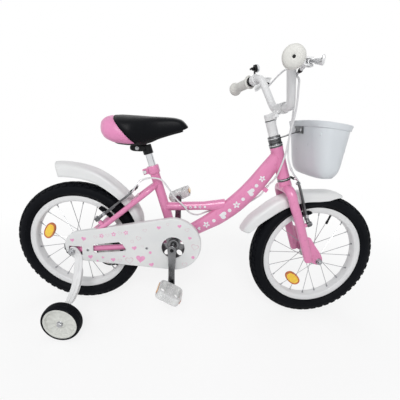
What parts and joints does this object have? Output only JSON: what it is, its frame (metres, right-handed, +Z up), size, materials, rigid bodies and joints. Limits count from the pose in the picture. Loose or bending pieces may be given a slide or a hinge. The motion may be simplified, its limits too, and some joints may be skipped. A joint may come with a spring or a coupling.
{
  "type": "children's bicycle",
  "caption": "Children's bicycle on small spoked wheels with training wheels, fenders, a chain guard, hand brakes, a bell and a front basket.",
  "frame": {"origin": "on the ground, right under the rear axle, in the middle of the rear tyre's foot", "axes": "+X points forward along the bicycle, +Y to the rider's left, +Z up; the chain side faces -Y"},
  "size_m": [1.1428, 0.5102, 0.7722],
  "materials": {
    "pink_paint": "gloss pink paint",
    "white_paint": "gloss white paint",
    "white_plastic": "moulded, white",
    "pearl_plastic": "moulded, pearl white",
    "tyre": "black tread",
    "black_rubber": "matt black",
    "black_cover": "black synthetic cover",
    "pink_cover": "pink synthetic cover",
    "black_plastic": "moulded, black",
    "chrome": "bright plated",
    "steel": "zinc plated",
    "dark_steel": "darkened",
    "amber": "moulded prism, amber",
    "clear": "moulded, milky",
    "grip": "soft moulded, off-white"
  },
  "bodies": {
    "frame": {"frame": "pink_paint", "seat_bolt": "steel", "rear_fender": "white_plastic", "chain_guard": "white_plastic", "bottom_bracket": "steel", "rear_axle": "steel", "training_arm_right": "white_paint", "training_arm_left": "white_paint", "training_axle_right": "steel", "training_axle_left": "steel", "headset_cup_lower": "chrome", "headset_cup_upper": "chrome", "rear_brake_cable": "white_plastic", "rear_cable_loop": "white_plastic", "chain": "dark_steel"},
    "seat": {"seatpost": "chrome", "saddle_clamp": "black_plastic", "saddle_base": "black_plastic", "saddle_cover": "black_cover", "saddle_tail": "pink_cover"},
    "steering": {"fork": "pink_paint", "headset_nut": "chrome", "stem": "white_paint", "handlebar": "white_paint", "grip_right": "grip", "grip_left": "grip", "lever_mount_right": "white_paint", "lever_mount_left": "white_paint", "bell_base": "black_plastic", "bell_dome": "chrome", "basket_bracket": "dark_steel", "basket": "pearl_plastic", "front_fender": "white_plastic", "front_axle": "steel", "front_brake_cable": "white_plastic"},
    "front_wheel": {"front_tyre": "tyre", "front_rim": "white_paint", "front_hub": "steel", "front_reflector": "amber"},
    "rear_wheel": {"rear_tyre": "tyre", "rear_rim": "white_paint", "rear_hub": "steel", "rear_reflector": "amber"},
    "sprocket": {"rear_sprocket": "dark_steel"},
    "crankset": {"crank": "chrome", "chainring": "dark_steel"},
    "right_pedal": {"pedal_right": "clear"},
    "left_pedal": {"pedal_left": "clear"},
    "right_training_wheel": {"training_tyre_right": "black_rubber", "training_disc_right": "white_plastic"},
    "left_training_wheel": {"training_tyre_left": "black_rubber", "training_disc_left": "white_plastic"},
    "right_lever": {"brake_lever_right": "chrome"},
    "left_lever": {"brake_lever_left": "chrome"},
    "front_arm_right": {"front_brake_arm_right": "dark_steel"},
    "front_arm_left": {"front_brake_arm_left": "dark_steel"},
    "rear_arm_right": {"rear_brake_arm_right": "dark_steel"},
    "rear_arm_left": {"rear_brake_arm_left": "dark_steel"},
    "bell_striker": {"bell_lever": "black_plastic"}
  },
  "joints": [
    {"name": "steering", "type": "hinge", "parent": "frame", "child": "steering", "pos_m": [0.58849, 0, 0.54247], "axis": [-0.342, 0, 0.9397], "range_deg": [-48, 32], "deforming": ["rear_cable_loop"]},
    {"name": "seat_height", "type": "slide", "parent": "frame", "child": "seat", "axis": [-0.2957, 0, 0.9553], "range_m": [-0.034, 0.04]},
    {"name": "front_wheel_spin", "type": "hinge", "parent": "steering", "child": "front_wheel", "pos_m": [0.74372, 0.00414, 0.1999], "axis": [-0.134, 0.9898, -0.0488], "continuous": true},
    {"name": "rear_wheel_spin", "type": "hinge", "parent": "frame", "child": "rear_wheel", "pos_m": [0, 0, 0.2], "axis": [0, 1, 0], "continuous": true},
    {"name": "sprocket_spin", "type": "hinge", "parent": "frame", "child": "sprocket", "pos_m": [0, 0, 0.2], "axis": [0, 1, 0], "continuous": true, "deforming": ["chain"]},
    {"name": "crank_spin", "type": "hinge", "parent": "frame", "child": "crankset", "pos_m": [0.3055, 0, 0.228], "axis": [0, 1, 0], "continuous": true},
    {"name": "right_pedal_spin", "type": "hinge", "parent": "crankset", "child": "right_pedal", "pos_m": [0.3055, 0, 0.114], "axis": [0, 1, 0], "continuous": true},
    {"name": "left_pedal_spin", "type": "hinge", "parent": "crankset", "child": "left_pedal", "pos_m": [0.3055, 0, 0.342], "axis": [0, 1, 0], "continuous": true},
    {"name": "right_training_spin", "type": "hinge", "parent": "frame", "child": "right_training_wheel", "pos_m": [0.02, 0, 0.0545], "axis": [0, 1, 0], "continuous": true},
    {"name": "left_training_spin", "type": "hinge", "parent": "frame", "child": "left_training_wheel", "pos_m": [0.02, 0, 0.0545], "axis": [0, 1, 0], "continuous": true},
    {"name": "right_lever_pull", "type": "hinge", "parent": "steering", "child": "right_lever", "pos_m": [0.6102, -0.12584, 0.73791], "axis": [0.0033, -0.0488, -0.9988], "range_deg": [0, 18], "stiffness_Nm_per_rad": 0.8, "springref_deg": -8.59},
    {"name": "left_lever_pull", "type": "hinge", "parent": "steering", "child": "left_lever", "pos_m": [0.57347, 0.14536, 0.72454], "axis": [-0.0033, 0.0488, 0.9988], "range_deg": [0, 18], "stiffness_Nm_per_rad": 0.8, "springref_deg": -8.59},
    {"name": "front_right_arm_close", "type": "hinge", "parent": "steering", "child": "front_arm_right", "pos_m": [0.68002, -0.04949, 0.31183], "axis": [0.9301, 0.1426, 0.3385], "range_deg": [0, 3.5]},
    {"name": "front_left_arm_close", "type": "hinge", "parent": "steering", "child": "front_arm_left", "pos_m": [0.66662, 0.04949, 0.30696], "axis": [-0.9301, -0.1426, -0.3385], "range_deg": [0, 3.5]},
    {"name": "rear_right_arm_close", "type": "hinge", "parent": "frame", "child": "rear_arm_right", "pos_m": [0.09523, -0.05, 0.28002], "axis": [0.6433, 0, -0.7656], "range_deg": [0, 3.5]},
    {"name": "rear_left_arm_close", "type": "hinge", "parent": "frame", "child": "rear_arm_left", "pos_m": [0.09523, 0.05, 0.28002], "axis": [-0.6433, 0, 0.7656], "range_deg": [0, 3.5]},
    {"name": "bell_ring", "type": "hinge", "parent": "steering", "child": "bell_striker", "pos_m": [0.53412, 0.13871, 0.75928], "axis": [0.9504, 0.1423, 0.2765], "range_deg": [0, 30], "stiffness_Nm_per_rad": 0.02, "springref_deg": -11.46}
  ],
  "couplings": [
    {"joint": "sprocket_spin", "follows": "crank_spin", "ratio": 1.75},
    {"joint": "front_right_arm_close", "follows": "left_lever_pull", "ratio": 0.1944},
    {"joint": "front_left_arm_close", "follows": "left_lever_pull", "ratio": 0.1944},
    {"joint": "rear_right_arm_close", "follows": "right_lever_pull", "ratio": 0.1944},
    {"joint": "rear_left_arm_close", "follows": "right_lever_pull", "ratio": 0.1944}
  ]
}
